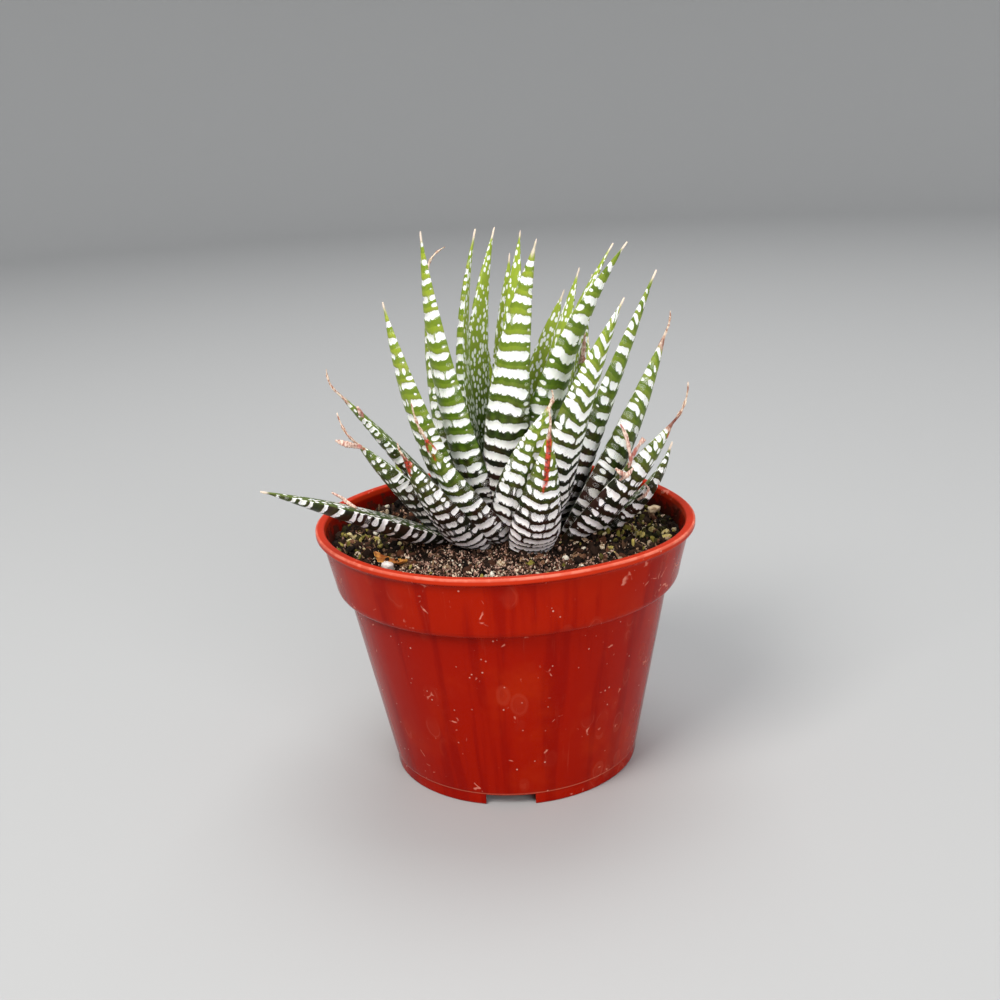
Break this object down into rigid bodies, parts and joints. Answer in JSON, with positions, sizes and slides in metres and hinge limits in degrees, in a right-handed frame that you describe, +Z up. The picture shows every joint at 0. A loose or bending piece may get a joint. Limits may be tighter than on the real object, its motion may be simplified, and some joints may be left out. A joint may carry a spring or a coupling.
{
  "type": "potted haworthia",
  "caption": "Small zebra haworthia, a rosette of thick pointed leaves with raised white bands, growing in a round tapered plastic nursery pot filled with potting mix.",
  "frame": {"origin": "on the surface that the pot stands on, under the middle of the whole object's bounding box", "axes": "+Z up along the pot's axis, -Y the front, towards the viewer, +X to the viewer's right"},
  "size_m": [0.108, 0.1007, 0.145],
  "materials": {
    "pot_plastic": "gloss",
    "potting_mix": "matte",
    "leaf_skin": "satin",
    "stem_fibre": "matte",
    "pale_stone": "matte",
    "tan_bark": "matte",
    "dry_leaf": "satin"
  },
  "bodies": {
    "root": {"leaf_01": "leaf_skin", "leaf_02": "leaf_skin", "leaf_03": "leaf_skin", "leaf_04": "leaf_skin", "leaf_05": "leaf_skin", "leaf_06": "leaf_skin", "leaf_07": "leaf_skin", "leaf_08": "leaf_skin", "leaf_09": "leaf_skin", "leaf_10": "leaf_skin", "leaf_11": "leaf_skin", "leaf_12": "leaf_skin", "leaf_13": "leaf_skin", "leaf_14": "leaf_skin", "leaf_15": "leaf_skin", "leaf_16": "leaf_skin", "leaf_17": "leaf_skin", "leaf_18": "leaf_skin", "leaf_19": "leaf_skin", "leaf_20": "leaf_skin", "leaf_21": "leaf_skin", "leaf_22": "leaf_skin", "leaf_23": "leaf_skin", "leaf_24": "leaf_skin", "leaf_25": "leaf_skin", "leaf_26": "leaf_skin", "leaf_27": "leaf_skin", "leaf_28": "leaf_skin", "leaf_29": "leaf_skin", "leaf_30": "leaf_skin", "leaf_31": "leaf_skin", "leaf_32": "leaf_skin", "leaf_33": "leaf_skin", "leaf_34": "leaf_skin", "leaf_35": "leaf_skin", "pot": "pot_plastic", "potting_mix": "potting_mix", "stem": "stem_fibre", "pebble": "pale_stone", "bark_chip": "tan_bark", "leaf_scrap": "dry_leaf"}
  },
  "joints": []
}
